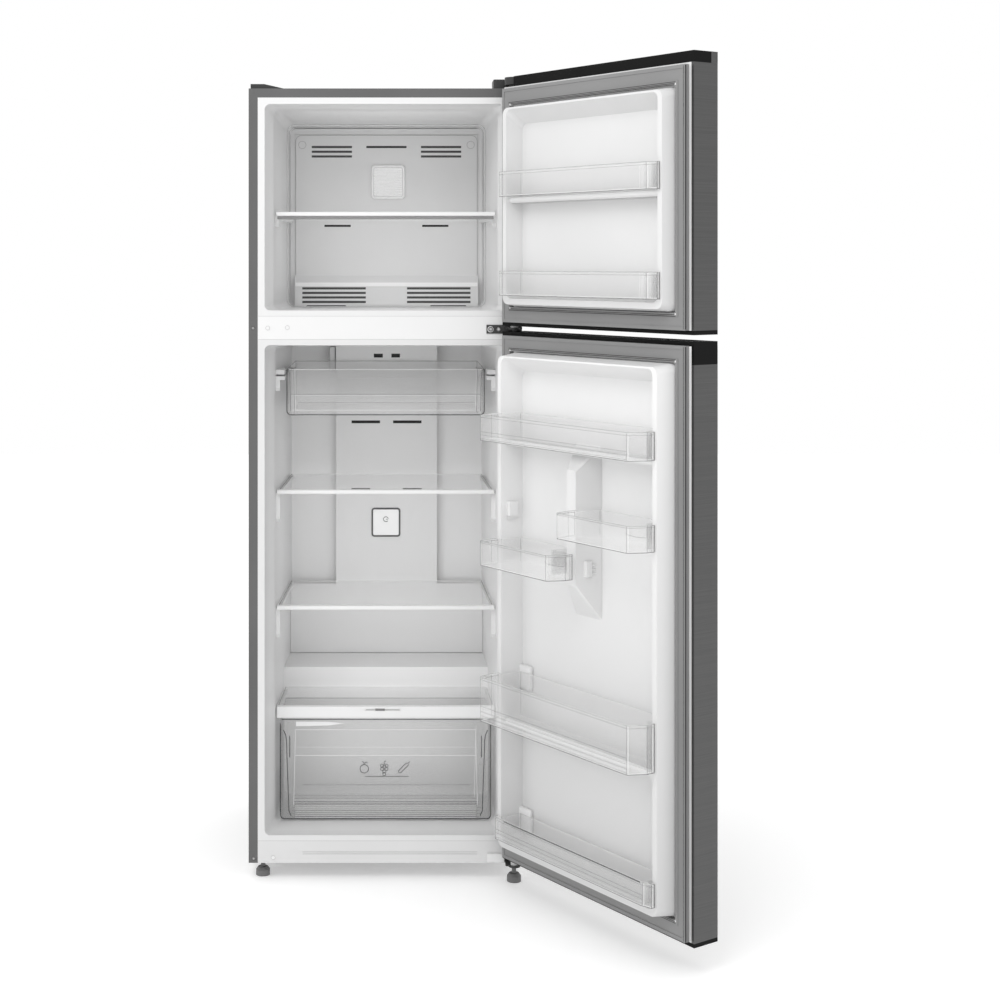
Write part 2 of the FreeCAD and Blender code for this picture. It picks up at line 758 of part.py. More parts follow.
dike_half = 255.0
dike_slope = 7.0
crest_width = 12.0
door_sheet = 1.8
recess_floor = -16.0


def dike_solid(low, high, height, shrink):
    """The raised frame of a door's liner, filled in."""
    top = door_back + height - shrink
    base = (low + shrink, high - shrink)
    crest = (base[0] + dike_slope, base[1] - dike_slope)
    start = door_back - 2.0
    return rect_prism(start, dike_half - shrink, base, top, dike_half - shrink - dike_slope, crest, 16)


# the frame's top is a narrow rim with a long slope behind it
top_rim = 3.0
top_slope = 30.0


def recess_solid(low, high, height, grow):
    """The space inside that frame, down to the liner's inner face."""
    inset = dike_slope + crest_width - grow
    top_inset = dike_slope + top_rim - grow
    top = door_back + height + 1.0
    floor = recess_floor - grow
    near = (low + inset, high - top_inset)
    deep = (low + inset + 5, high - top_inset - top_slope)
    return rect_prism(floor, dike_half - inset - 5, deep, top, dike_half - inset, near, 14)


# the line near the doors' hinge edge that the bins' places are measured from
bin_datum = 298.0


def door_rib(shrink):
    """The post up the middle of the fridge door's liner that the half bins hang from."""
    crest_y = door_back + 42 - shrink
    centre = bin_datum - 284
    base = rectangle(recess_floor - 1, 41 - shrink, 630 + shrink, 985 - shrink, 6)
    crest = rectangle(crest_y, 14 - shrink, 700 + shrink, 935 - shrink, 6)
    post = Part.makeLoft([base, crest], True, True)
    post.translate(vec(centre, 0, 0))
    return post


def make_door_liner(low, high, frame, height, with_rib):
    """Vacuum-formed inner face: a flat border, a raised frame and the recess inside it."""
    border_half = door_half - lip_width
    border = box((-border_half, border_half), (door_back - 2, door_back), (low, high))
    outside = dike_solid(frame[0], frame[1], height, 0.0)
    core = dike_solid(frame[0], frame[1], height, door_sheet)
    recess = recess_solid(frame[0], frame[1], height, 0.0)
    tub_outside = recess_solid(frame[0], frame[1], height, door_sheet)
    top_cut = box((-300, 300), (door_back + height, door_back + 100), (low, high))
    tub_outside = tub_outside.cut(top_cut)
    liner = fuse([border, outside, tub_outside]).cut([recess, core.cut(tub_outside)])
    if with_rib:
        lugs = [box((224, 234.5), (door_back + 14, door_back + 36), (815, 845)),
                box((-19, 0), (door_back + 14, door_back + 28), (720, 752))]
        liner = fuse([liner, door_rib(0.0)] + lugs)
    return liner


def make_door_foam(low, high, frame, height, removed):
    """Foam between the skin and the liner."""
    block = box((-door_half + sheet, door_half - sheet), (door_front + sheet, door_back - 2), (low, high))
    block = rounded(block, 3, lambda a, b: is_along(a, b, axis_z) and a.y < door_front + 2)
    core = dike_solid(frame[0], frame[1], height, door_sheet)
    tub_outside = recess_solid(frame[0], frame[1], height, door_sheet)
    return fuse([block, core]).cut([tub_outside] + removed)


gasket_face = -0.6


def make_gasket(outer_z, inner_z):
    """The magnetic seal: a ring with a groove round its face."""
    ring = box((-283, 283), (door_back, gasket_face), outer_z)
    hole = box((-257, 257), (door_back - 1, 1), inner_z)
    groove_outer = box((-276, 276), (gasket_face - 1.2, 1), (outer_z[0] + 7, outer_z[1] - 7))
    groove_inner = box((-264, 264), (gasket_face - 2, 2), (inner_z[0] - 7, inner_z[1] + 7))
    return ring.cut([hole, groove_outer.cut(groove_inner)])


# how far a bin's front corners stand in from its ends, at the hinge side and at the far side
hinge_slant = 6.0
end_slant = 17.0


def bin_plan(rear, front, depths, inset):
    """A bin's outline from above: narrow inside the liner's frame, wide in front of it, slanted at its ends."""
    back, step, reach, slant = depths
    back += inset
    reach -= inset
    step += inset
    side = reach - slant
    ends = [(rear[0] + inset, back), (rear[0] + inset, step), (front[0] + inset, step),
            (front[0] + inset, side), (front[0] + inset + hinge_slant, reach),
            (front[1] - inset - end_slant, reach), (front[1] - inset, side), (front[1] - inset, step),
            (rear[1] - inset, step), (rear[1] - inset, back)]
    return [(bin_datum - along, door_back + out) for along, out in ends]


def make_bin(rear, front, depths, z_range):
    """A clear bin. rear and front are its two stretches, measured from the hinge edge of the door."""
    outer = upright(bin_plan(rear, front, depths, 0.0), z_range)
    edge_y = door_back + depths[2] - 1
    outer = rounded(outer, 4, lambda a, b: is_along(a, b, axis_z) and a.y > edge_y)
    inner = upright(bin_plan(rear, front, depths, clear_wall), (z_range[0] + clear_wall, z_range[1] + 5))
    inner = rounded(inner, 4 - clear_wall, lambda a, b: is_along(a, b, axis_z) and a.y > edge_y - clear_wall)
    return outer.cut(inner)


full_rear = (72.0, 524.0)
full_front = (54.0, 542.0)
fridge_depths = (5.0, fridge_dike + 2, 106.0, 36.0)
short_depths = (5.0, fridge_dike + 2, 66.0, 7.0)
freezer_depths = (5.0, freezer_dike + 2, 56.0, 12.0)
door_bins = {
    "freezer_bin_upper": (full_rear, full_front, freezer_depths, (1495, 1548)),
    "freezer_bin_lower": (full_rear, full_front, freezer_depths, (1285, 1337)),
    "fridge_bin_top": (full_rear, full_front, fridge_depths, (979, 1034)),
    "fridge_half_bin_upper": ((330.0, 524.0), (308.0, 542.0), fridge_depths, (805, 857)),
    "fridge_half_bin_lower": ((72.0, 238.0), (54.0, 300.0), fridge_depths, (715, 767)),
    "fridge_bottle_bin": (full_rear, full_front, fridge_depths, (386, 480)),
    "fridge_bin_bottom": (full_rear, full_front, short_depths, (130, 176)),
}

fridge_frame = (103.0, 1163.0)
freezer_frame = (1259.0, 1692.0)


def main():
    os.makedirs("parts", exist_ok=True)
    save("outer_shell", make_outer_shell())
    save("back_panel", make_back_panel())
    save("cabinet_foam", make_cabinet_foam())
    save("freezer_liner", make_freezer_liner())
    save("fridge_liner", make_fridge_liner())
    save("mullion_cover", make_mullion_cover())
    save("base_panel", make_base_panel())
    save("base_plate", make_base_plate())

    save("compressor", make_compressor())
    save("compressor_mounts", make_compressor_mounts())
    save("drain_pan", make_drain_pan())
    save("machine_cover", make_machine_cover())
    save("mains_inlet", make_mains_inlet())
    save("refrigerant_pipes", make_refrigerant_pipes())

    save("evaporator", make_evaporator())
    save("fan_motor", make_fan_motor())
    save("fan_blade", make_fan_blade())
    save("freezer_back_cover", make_freezer_back_cover())
    save("trim_badges", [badge((-37, 45), (1509, 1592), cover_y, 6), badge((-37, 34), (681, 752), duct_y, 4)])
    save("air_duct", make_air_duct())
    save("duct_lamp", make_duct_lamp())

    save("top_hinge", make_top_hinge())
    save("middle_hinge", make_middle_hinge())
    save("bottom_hinge", make_bottom_hinge())
    save("hinge_bushes", make_hinge_bushes())
    save("hinge_screws", make_hinge_screws())
    save("hole_plugs", make_hole_plugs())
    save("top_covers", make_top_covers())

    save("left_foot", make_foot(left_foot))
    save("right_foot", make_foot(right_foot))
    save("right_roller", make_roller())
    save("left_roller", mirrored(make_roller()))

    save("freezer_shelf_glass", make_shelf_glass(freezer_wall_at, 80, 390, freezer_shelf_low))
    save("freezer_shelf_trim", make_shelf_trim(244, 68, 80, freezer_shelf_low - 1, freezer_shelf_low + 8))
    for level, low in (("upper", upper_shelf_low), ("lower", lower_shelf_low)):
        save(level + "_shelf_glass", make_shelf_glass(fridge_wall_at, 112, 428, low))
        save(level + "_shelf_trim", make_shelf_trim(244.5, 99, 112, low - 1, low + 8))
    save("crisper_cover_glass", make_shelf_glass(fridge_wall_at, 112, 287, cover_glass_low))
    save("crisper_cover_trim", make_crisper_cover_trim())
    save("humidity_slider", make_humidity_slider())
    save("crisper_drawer", make_crisper_drawer())
    save("chiller_drawer", make_chiller_drawer())

    freezer_caps = make_freezer_caps()
    save("freezer_door_skin", make_door_skin(freezer_skin_low, freezer_skin_high), turned=True)
    save("freezer_door_caps", freezer_caps, turned=True)
    freezer_span = (freezer_skin_low, freezer_skin_high)
    freezer_liner = make_door_liner(*freezer_span, freezer_frame, freezer_dike, False)
    save("freezer_door_liner", freezer_liner, turned=True)
    pin_room = [pin_hole(freezer_skin_low, 1240), pin_hole(1700, 1740)]
    filled = freezer_caps + [box(*freezer_grip_pocket)] + pin_room
    save("freezer_door_foam", make_door_foam(*freezer_span, freezer_frame, freezer_dike, filled), turned=True)
    save("freezer_door_gasket", make_gasket((freezer_skin_low, 1731), (1259, 1695)), turned=True)

    fridge_caps = make_fridge_caps()
    save("fridge_door_skin", make_door_skin(fridge_skin_low, cap_low), turned=True)
    save("fridge_door_caps", fridge_caps, turned=True)
    fridge_span = (fridge_skin_low, foam_high)
    save("fridge_door_liner", make_door_liner(*fridge_span, fridge_frame, fridge_dike, True), turned=True)
    cap_front = box((-half, half), (door_front - 1, cap_split), cap_heights)
    filled = fridge_caps + [cap_front, pin_hole(fridge_skin_low, 84), pin_hole(1176, 1200)]
    save("fridge_door_foam", make_door_foam(*fridge_span, fridge_frame, fridge_dike, filled), turned=True)
    save("fridge_door_gasket", make_gasket((fridge_skin_low, 1197), (101, 1165)), turned=True)

    for name, sizes in door_bins.items():
        save(name, make_bin(*sizes), turned=True)


main()
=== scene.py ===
"""The looks of a top freezer refrigerator with both doors open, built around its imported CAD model."""
import json
import math

import bmesh
import bpy
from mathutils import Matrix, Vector


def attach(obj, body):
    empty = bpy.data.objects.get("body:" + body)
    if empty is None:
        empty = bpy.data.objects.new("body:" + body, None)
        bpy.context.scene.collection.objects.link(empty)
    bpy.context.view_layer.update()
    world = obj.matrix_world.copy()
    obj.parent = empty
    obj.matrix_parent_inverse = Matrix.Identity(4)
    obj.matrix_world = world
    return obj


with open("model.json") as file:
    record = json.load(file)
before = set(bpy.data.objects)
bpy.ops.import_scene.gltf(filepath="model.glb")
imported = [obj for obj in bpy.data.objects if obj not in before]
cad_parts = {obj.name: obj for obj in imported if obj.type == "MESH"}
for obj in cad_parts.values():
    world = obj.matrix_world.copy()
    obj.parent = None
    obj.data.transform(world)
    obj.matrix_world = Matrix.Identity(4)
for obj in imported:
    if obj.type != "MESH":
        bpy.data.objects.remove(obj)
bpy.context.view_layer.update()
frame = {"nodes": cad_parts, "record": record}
nodes = frame["nodes"]

# the angle the doors stand open at in this pose
OPEN = math.radians(124)


# ---------------------------------------------------------------- materials

def new_material(name):
    """A material with an empty node tree but for its output and shader."""
    m = bpy.data.materials.new(name)
    m.use_nodes = True
    nt = m.node_tree
    nt.nodes.clear()
    out = nt.nodes.new("ShaderNodeOutputMaterial")
    bsdf = nt.nodes.new("ShaderNodeBsdfPrincipled")
    nt.links.new(bsdf.outputs[0], out.inputs[0])
    return m, nt, bsdf


def node(nt, kind, **inputs):
    """A shader node with its inputs set by name or number."""
    n = nt.nodes.new(kind)
    for key, value in inputs.items():
        n.inputs[int(key[1:]) if key[0] == "_" else key.replace("_", " ")].default_value = value
    return n


def mapping(nt, scale):
    """Object coordinates stretched by a scale."""
    coord = nt.nodes.new("ShaderNodeTexCoord")
    m = nt.nodes.new("ShaderNodeMapping")
    m.inputs["Scale"].default_value = scale
    nt.links.new(coord.outputs["Object"], m.inputs["Vector"])
    return m.outputs[0]


def noise(nt, vector, scale, detail=3.0, rough=0.5):
    """Noise over a vector, as a value from 0 to 1."""
    n = node(nt, "ShaderNodeTexNoise", Scale=scale, Detail=detail, Roughness=rough)
    nt.links.new(vector, n.inputs["Vector"])
    return n.outputs[0]


def ramp(nt, value, stops):
    """A colour ramp over a value; stops are (place, colour)."""
    r = nt.nodes.new("ShaderNodeValToRGB")
    e = r.color_ramp.elements
    while len(e) < len(stops):
        e.new(0.5)
    for el, (place, colour) in zip(e, stops):
        el.position = place
        el.color = (*colour, 1)
    nt.links.new(value, r.inputs[0])
    return r.outputs[0]


def spread(nt, value, low, high):
    """A value from 0..1 laid out between low and high."""
    m = node(nt, "ShaderNodeMapRange")
    m.inputs[3].default_value = low
    m.inputs[4].default_value = high
    nt.links.new(value, m.inputs[0])
    return m.outputs[0]


def bump(nt, bsdf, height, distance, strength=0.5):
    """Relief from a height value, with its depth in metres."""
    b = node(nt, "ShaderNodeBump", Strength=strength, Distance=distance)
    nt.links.new(height, b.inputs["Height"])
    nt.links.new(b.outputs[0], bsdf.inputs["Normal"])


def grey(v):
    return (v, v, v)


def varied(colour, vary):
    """A darker and a lighter neighbour of a colour."""
    low = tuple(c * (1 - vary) for c in colour)
    high = tuple(min(1.0, c * (1 + vary)) for c in colour)
    return low, high


def moulded(name, colour, rough=0.4, vary=0.03, grain=900.0, depth=0.00004, specular=0.5):
    """Moulded or painted surface: fine grain, slightly uneven gloss and colour."""
    m, nt, bsdf = new_material(name)
    vec = mapping(nt, (1, 1, 1))
    cloud = noise(nt, vec, 3.0, 4.0)
    fine = noise(nt, vec, grain, 2.0)
    low, high = varied(colour, vary)
    nt.links.new(ramp(nt, cloud, [(0.35, low), (0.65, high)]), bsdf.inputs["Base Color"])
    nt.links.new(spread(nt, noise(nt, vec, 14.0, 5.0), rough - 0.05, rough + 0.07), bsdf.inputs["Roughness"])
    bsdf.inputs["Specular IOR Level"].default_value = specular
    bump(nt, bsdf, fine, depth)
    return m


def brushed(name, colour, rough=0.32, metal=1.0, scale=(6, 6, 900), depth=0.00003, vary=0.12):
    """Sheet metal with brush lines along one way."""
    m, nt, bsdf = new_material(name)
    lines = noise(nt, mapping(nt, scale), 1.0, 6.0, 0.65)
    cloud = noise(nt, mapping(nt, (1, 1, 1)), 2.5, 3.0)
    low, high = varied(colour, vary)
    nt.links.new(ramp(nt, lines, [(0.3, low), (0.7, high)]), bsdf.inputs["Base Color"])
    bsdf.inputs["Metallic"].default_value = metal
    mix = nt.nodes.new("ShaderNodeMath")
    mix.operation = "MULTIPLY"
    nt.links.new(lines, mix.inputs[0])
    nt.links.new(cloud, mix.inputs[1])
    nt.links.new(spread(nt, mix.outputs[0], rough - 0.06, rough + 0.22), bsdf.inputs["Roughness"])
    bump(nt, bsdf, lines, depth, 0.4)
    return m


def clear(name, colour, alpha=0.3, rough=0.12, ior=1.49):
    """Clear moulded plastic or glass: mostly see-through, with gloss at a glance."""
    m, nt, bsdf = new_material(name)
    vec = mapping(nt, (1, 1, 1))
    nt.links.new(spread(nt, noise(nt, vec, 60.0, 4.0), rough - 0.03, rough + 0.05), bsdf.inputs["Roughness"])
    dim = tuple(c * 0.985 for c in colour)
    nt.links.new(ramp(nt, noise(nt, vec, 5.0), [(0.3, dim), (0.7, colour)]), bsdf.inputs["Base Color"])
    bsdf.inputs["IOR"].default_value = ior
    bsdf.inputs["Alpha"].default_value = alpha
    bump(nt, bsdf, noise(nt, vec, 220.0, 2.0), 0.00004)
    return m


def graded(name, axis, places, low, high):
    """White liner with painted light and shade: its tone runs from low to high between two places along an
    axis, in metres.
    """
    m, nt, bsdf = new_material(name)
    vec = mapping(nt, (1, 1, 1))
    split = nt.nodes.new("ShaderNodeSeparateXYZ")
    nt.links.new(vec, split.inputs[0])
    rise = node(nt, "ShaderNodeMapRange", _1=places[0], _2=places[1])
    nt.links.new(split.outputs[axis], rise.inputs[0])
    nt.links.new(ramp(nt, rise.outputs[0], [(0.0, low), (1.0, high)]), bsdf.inputs["Base Color"])
    nt.links.new(spread(nt, noise(nt, vec, 14.0, 5.0), 0.33, 0.45), bsdf.inputs["Roughness"])
    bump(nt, bsdf, noise(nt, vec, 1200.0, 2.0), 0.00003)
    return m


# one material for each slot of the CAD
MATS = {
    "cabinet_steel": moulded("cabinet_paint", grey(0.105), 0.42, 0.08, 700, 0.00012),
    "door_steel": brushed("door_steel", grey(0.105), 0.38, 0.85),
    "galvanised_steel": moulded("galvanised", grey(0.45), 0.45, 0.12, 60, 0.00003),
    "insulating_foam": moulded("foam", (0.8, 0.72, 0.5), 0.85, 0.06, 300, 0.0004, 0.2),
    "white_liner": moulded("liner_white", grey(0.76), 0.36, 0.015, 1200, 0.00003),
    "white_trim": moulded("trim_white", grey(0.76), 0.42, 0.015, 1400, 0.00003),
    "pale_panel": moulded("panel_pale", grey(0.74), 0.45, 0.015, 1400, 0.00003),
    "compressor_paint": moulded("compressor_black", grey(0.02), 0.35, 0.1, 300, 0.00005),
    "mount_rubber": moulded("mount_rubber", grey(0.03), 0.8, 0.1, 500, 0.0001, 0.3),
    "dark_plastic": moulded("plastic_dark", grey(0.025), 0.45, 0.06, 1500, 0.00006),
    "cap_plastic": moulded("cap_black", grey(0.005), 0.5, 0.08, 1500, 0.00005, 0.1),
    "copper_pipe": brushed("copper", (0.72, 0.38, 0.24), 0.3, 1.0, (60, 60, 60)),
    "coil_aluminium": brushed("coil", grey(0.6), 0.4, 1.0, (40, 40, 400)),
    "badge_trim": moulded("badge", grey(0.62), 0.3, 0.03, 900, 0.00002),
    "lamp_lens": moulded("lamp", grey(0.62), 0.3, 0.02, 900, 0.00005),
    "hinge_steel": moulded("hinge_coat", grey(0.03), 0.4, 0.1, 900, 0.00006),
    "screw_steel": brushed("zinc", grey(0.5), 0.3, 1.0, (300, 300, 300)),
    "foot_plastic": moulded("foot", grey(0.15), 0.55, 0.1, 900, 0.0001),
    "shelf_glass": clear("shelf_glass", grey(0.80), 0.16, 0.06, 1.5),
    "shelf_trim": moulded("shelf_trim", grey(0.82), 0.3, 0.01, 1400, 0.00002),
    "slider_grey": moulded("slider", grey(0.2), 0.45, 0.04, 1400, 0.00004),
    "clear_plastic": clear("bin_clear", grey(0.86), 0.14, 0.10),
    "gasket_rubber": moulded("gasket", grey(0.235), 0.6, 0.05, 900, 0.00008, 0.35),
}
# the looks' own pieces: painted shade and painted highlights at the edges of clear plastic and glass,
# printed marks, painted shade in seams, slots and gaps, other painted shades and highlights, bright trim and
# bright metal
# painted shade, dark and soft, along the edges of clear plastic and glass where the real thing bends the
# light, and painted highlights along them
EDGE_SHADE_DARK = clear("clear_edge_shade_dark", grey(0.08), 0.75, 0.2)
EDGE_SHADE_SOFT = clear("clear_edge_shade_soft", grey(0.26), 0.62, 0.2)
EDGE_HIGHLIGHT = clear("clear_edge_highlight", grey(0.93), 0.75, 0.15)
INK = moulded("print_grey", grey(0.1), 0.5, 0.05, 1500, 0.00001)
# painted shade, near black, in slots, in a gap by the lamp and in the doors' gasket creases
DEEP_SHADE = moulded("deep_shade_dark", grey(0.03), 0.7, 0.05, 900, 0.00003, 0.2)
# painted shade lines at seams, grooves, steps, the cover's border and round caps and plugs
SHADE_LINE = moulded("shade_line_grey", grey(0.42), 0.6, 0.03, 900, 0.00002)
# painted shade for sheets laid on the fridge door's liner, on its post and in a notch
SHEET_SHADE = moulded("post_shade", grey(0.64), 0.5, 0.02, 1200, 0.00003)
# painted shadow under the ledges in the doors' liners
LEDGE_SHADE = moulded("ledge_shade_grey", grey(0.55), 0.5, 0.02, 1200, 0.00003)
# bright white trim, also used for painted highlights on the cover's slope and the liner's steps
BRIGHT_TRIM_AND_HIGHLIGHT = moulded("bright_trim_and_highlight", grey(0.95), 0.3, 0.01, 1200, 0.00002)
VENT = moulded("vent_shadow", grey(0.09), 0.7, 0.05, 900, 0.00002, 0.2)
METAL = brushed("plate_brushed", grey(0.72), 0.25, 1.0, (8, 8, 1200), 0.00002, 0.18)
# a painted highlight along the fold of the doors' skins
FOLD_HIGHLIGHT = brushed("fold_bright", grey(0.62), 0.25, 0.9, (6, 6, 900), 0.00002, 0.1)

for part in frame["record"]["subparts"]:
    mesh = nodes[part["node"]].data
    mesh.materials.clear()
    mesh.materials.append(MATS[part["material_slot"]])

# whites with painted light and shade, by places in the frame's metres: the fridge door's is painted lighter
# towards its top, the compartments' are painted darker at their front rims, and the freezer door's and the
# base panel's are evenly darker shaded copies
FRIDGE_DOOR_RISE = (0.1, 1.16)
RIM_DEPTH = (-0.279, -0.24)
Y_AXIS = 1
Z_AXIS = 2
SHADED_WHITES = {
    "fridge_door_liner": graded("fridge_door_white", Z_AXIS, FRIDGE_DOOR_RISE, grey(0.62), grey(0.82)),
    "fridge_liner": graded("fridge_liner_white", Y_AXIS, RIM_DEPTH, grey(0.69), grey(0.79)),
    "freezer_liner": graded("freezer_liner_white", Y_AXIS, RIM_DEPTH, grey(0.73), grey(0.78)),
    "freezer_door_liner": moulded("freezer_door_white", grey(0.70), 0.38, 0.015, 1200, 0.00003),
    "base_panel": moulded("base_panel_white", grey(0.66), 0.42, 0.02, 1400, 0.00003),
}
for part_name, white in SHADED_WHITES.items():
    nodes[part_name].data.materials[0] = white


# ---------------------------------------------------------------- building pieces

# millimetres, as in the CAD: the cabinet's front plane is y = 0 and the row frame's zero lies behind it
FRONT_SHIFT = 280
PIN_X = 281
PIN_Y = -32.5
DOOR_BACK = -12
# places along a door are counted from here, just past its hinge edge
DOOR_DATUM = 298

BLOCK_FACES = ((0, 1, 3, 2), (4, 6, 7, 5), (0, 4, 5, 1), (2, 3, 7, 6), (0, 2, 6, 4), (1, 5, 7, 3))
# edges that meet more sharply than this stay sharp when a piece is shaded smooth
SHARP = math.radians(38)


def at_cabinet(x, y, z):
    """Millimetres from the cabinet's front plane to the row frame."""
    return Vector((x / 1000, (y - FRONT_SHIFT) / 1000, z / 1000))


def at_door(t, d, z):
    """Along the open door from its datum, out from its inner face, and up."""
    x = DOOR_DATUM - t - PIN_X
    y = DOOR_BACK + d - PIN_Y
    turned_x = PIN_X + x * math.cos(OPEN) - y * math.sin(OPEN)
    turned_y = PIN_Y + x * math.sin(OPEN) + y * math.cos(OPEN)
    return Vector((turned_x / 1000, (turned_y - FRONT_SHIFT) / 1000, z / 1000))


class Piece:
    """Collects blocks, tubes and plates into one mesh that rides on a body."""

    def __init__(self, name, material, body, slot, place=at_cabinet):
        self.name = name
        self.material = material
        self.body = body
        self.slot = slot
        self.place = place
        self.bm = bmesh.new()

    def add(self, made):
        """Takes a bmesh into the piece and frees it."""
        bmesh.ops.recalc_face_normals(made, faces=made.faces[:])
        me = bpy.data.meshes.new("part")
        made.to_mesh(me)
        made.free()
        self.bm.from_mesh(me)
        bpy.data.meshes.remove(me)

    def block(self, a, b, soft=0.0):
        """A block between two corners, its edges softened."""
        made = bmesh.new()
        corners = [(x, y, z) for z in (a[2], b[2]) for y in (a[1], b[1]) for x in (a[0], b[0])]
        v = [made.verts.new(self.place(*corner)) for corner in corners]
        for face in BLOCK_FACES:
            made.faces.new([v[i] for i in face])
        if soft:
            bmesh.ops.bevel(made, geom=made.edges[:], offset=soft / 1000, segments=2, affect="EDGES")
        self.add(made)

    def tube(self, points, r, sides=6, closed=False):
        """A round line through points given in the place's own millimetres."""
        p = [self.place(*q) for q in points]
        n = len(p)
        made = bmesh.new()
        rings = []
        up = None
        for i in range(n):
            before = p[i - 1] if (i or closed) else p[i]
            after = p[(i + 1) % n] if (i < n - 1 or closed) else p[i]
            along = (after - before).normalized()
            if up is None:
                up = along.orthogonal().normalized()
            side = along.cross(up).normalized()
            up = side.cross(along).normalized()
            ring = []
            for k in range(sides):
                turn = k * math.tau / sides
                ring.append(made.verts.new(p[i] + (side * math.cos(turn) + up * math.sin(turn)) * r / 1000))
            rings.append(ring)
        for i in range(n if closed else n - 1):
            a, b = rings[i], rings[(i + 1) % n]
            for k in range(sides):
                made.faces.new([a[k], a[(k + 1) % sides], b[(k + 1) % sides], b[k]])
        if not closed:
            made.faces.new(rings[0][::-1])
            made.faces.new(rings[-1])
        self.add(made)

    def upright(self, x, y, low, high, r):
        """A straight round line standing at one place."""
        self.tube([(x, y, low), (x, y, high)], r)

    def across(self, half, y, z, r):
        """A straight round line from one side to the other, as far to the left as to the right."""
        self.tube([(-half, y, z), (half, y, z)], r)

    def loop(self, outline, depth, r, sides=6):
        """A closed round line along an outline in (x, z), at one depth."""
        self.tube([(x, depth, z) for x, z in outline], r, sides, True)

    def plate(self, outline, a, b, soft=0.0):
        """A flat plate from an outline in (x, z), standing between depths a and b."""
        made = bmesh.new()
        front = [made.verts.new(self.place(x, a, z)) for x, z in outline]
        back = [made.verts.new(self.place(x, b, z)) for x, z in outline]
        made.faces.new(front)
        made.faces.new(back[::-1])
        for i in range(len(outline)):
            j = (i + 1) % len(outline)
            made.faces.new([front[i], back[i], back[j], front[j]])
        bmesh.ops.recalc_face_normals(made, faces=made.faces[:])
        if soft:
            rim = [e for e in made.edges if e.verts[0] in front and e.verts[1] in front]
            bmesh.ops.bevel(made, geom=rim, offset=soft / 1000, segments=2, affect="EDGES")
        self.add(made)

    def done(self, smooth=True):
        """Makes the object, and tells the frame which body it rides on."""
        me = bpy.data.meshes.new(self.name)
        self.bm.to_mesh(me)
        self.bm.free()
        me.materials.append(self.material)
        for poly in me.polygons:
            poly.use_smooth = smooth
        o = bpy.data.objects.new(self.name, me)
        bpy.context.scene.collection.objects.link(o)
        if smooth:
            me.set_sharp_from_angle(angle=SHARP)
        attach(o, self.body)


def rounded_outline(x0, x1, z0, z1, r):
    """A rectangle with rounded corners as (x, z) points."""
    steps = 6
    corners = ((x1 - r, z1 - r, 0), (x0 + r, z1 - r, 90), (x0 + r, z0 + r, 180), (x1 - r, z0 + r, 270))
    points = []
    for cx, cz, start in corners:
        for k in range(steps + 1):
            a = math.radians(start + 90 * k / steps)
            points.append((cx + r * math.cos(a), cz + r * math.sin(a)))
    return points


def circle(cx, cz, r, steps=20):
    """A circle as (x, z) points."""
    turns = [math.tau * k / steps for k in range(steps)]
    return [(cx + r * math.cos(turn), cz + r * math.sin(turn)) for turn in turns]


def level(points, z):
    """Points in (along, out) at one height."""
    return [(t, d, z) for t, d in points]


# ---------------------------------------------------------------- door bins

# where the full-width bins' rear and front walls end along the door
WIDE_REAR = (72, 524)
WIDE_FRONT = (54, 542)
# how far out from the door: the rear wall, the step in the sides, the front wall, and the corners' slant
FREEZER_DEPTHS = (5, 39, 56, 12)
FRIDGE_DEPTHS = (5, 52, 106, 36)
BOTTOM_DEPTHS = (5, 52, 66, 7)
# bins taller than this have twice as many ribs
TALL_BIN = 80

# rear, front, depths, (bottom, top), kind
BINS = {
    "freezer_bin_upper": (WIDE_REAR, WIDE_FRONT, FREEZER_DEPTHS, (1495, 1548), "freezer"),
    "freezer_bin_lower": (WIDE_REAR, WIDE_FRONT, FREEZER_DEPTHS, (1285, 1337), "freezer"),
    "fridge_bin_top": (WIDE_REAR, WIDE_FRONT, FRIDGE_DEPTHS, (979, 1034), "fridge"),
    "fridge_half_bin_upper": ((330, 524), (308, 542), FRIDGE_DEPTHS, (805, 857), "half"),
    "fridge_half_bin_lower": ((72, 238), (54, 300), FRIDGE_DEPTHS, (715, 767), "half"),
    "fridge_bottle_bin": (WIDE_REAR, WIDE_FRONT, FRIDGE_DEPTHS, (386, 480), "fridge"),
    "fridge_bin_bottom": (WIDE_REAR, WIDE_FRONT, BOTTOM_DEPTHS, (130, 176), "bottom"),
}


def bin_front(front, depths, i):
    """The bin's outline along its front, hinge side first, moved in from its surface by i."""
    step, reach, slant = depths[1:]
    return [(front[0] + i, step), (front[0] + i, reach - slant),
            (front[0] + 6 + i, reach - i - 2), (front[0] + 8 + i, reach - i),
            (front[1] - 19 - i, reach - i), (front[1] - 16 - i, reach - i - 2),
            (front[1] - i, reach - slant), (front[1] - i, step)]


def bin_ribs(dark, light, line, low, high, share):
    """A ledge line in painted shade part of the way up a bin's front wall, and fine ribs below it in painted
    shade and painted highlight by turns.
    """
    ledge = low + (high - low) * share
    dark.tube(level(line[3:5], ledge), 0.4)
    count = 6 if high - low > TALL_BIN else 3
    for n in range(count):
        z = low + 3.5 + (ledge - low - 6) * n / count
        (light if n % 2 else dark).tube(level(line[3:5], z), 0.3)


def bin_wave(dark, line, front, high):
    """The curved line, in painted shade, on the slanting end of a half-width bin."""
    start, end = line[5], line[6]
    curve = []
    for k in range(13):
        t = front[1] - 26 + 24 * k / 12
        z = high - 14 - 9 * (0.5 - 0.5 * math.cos(math.pi * k / 12))
        share = max(0.0, min(1.0, (t - start[0]) / (end[0] - start[0])))
        curve.append((t, start[1] + (end[1] - start[1]) * share, z))
    dark.tube(curve, 0.4)


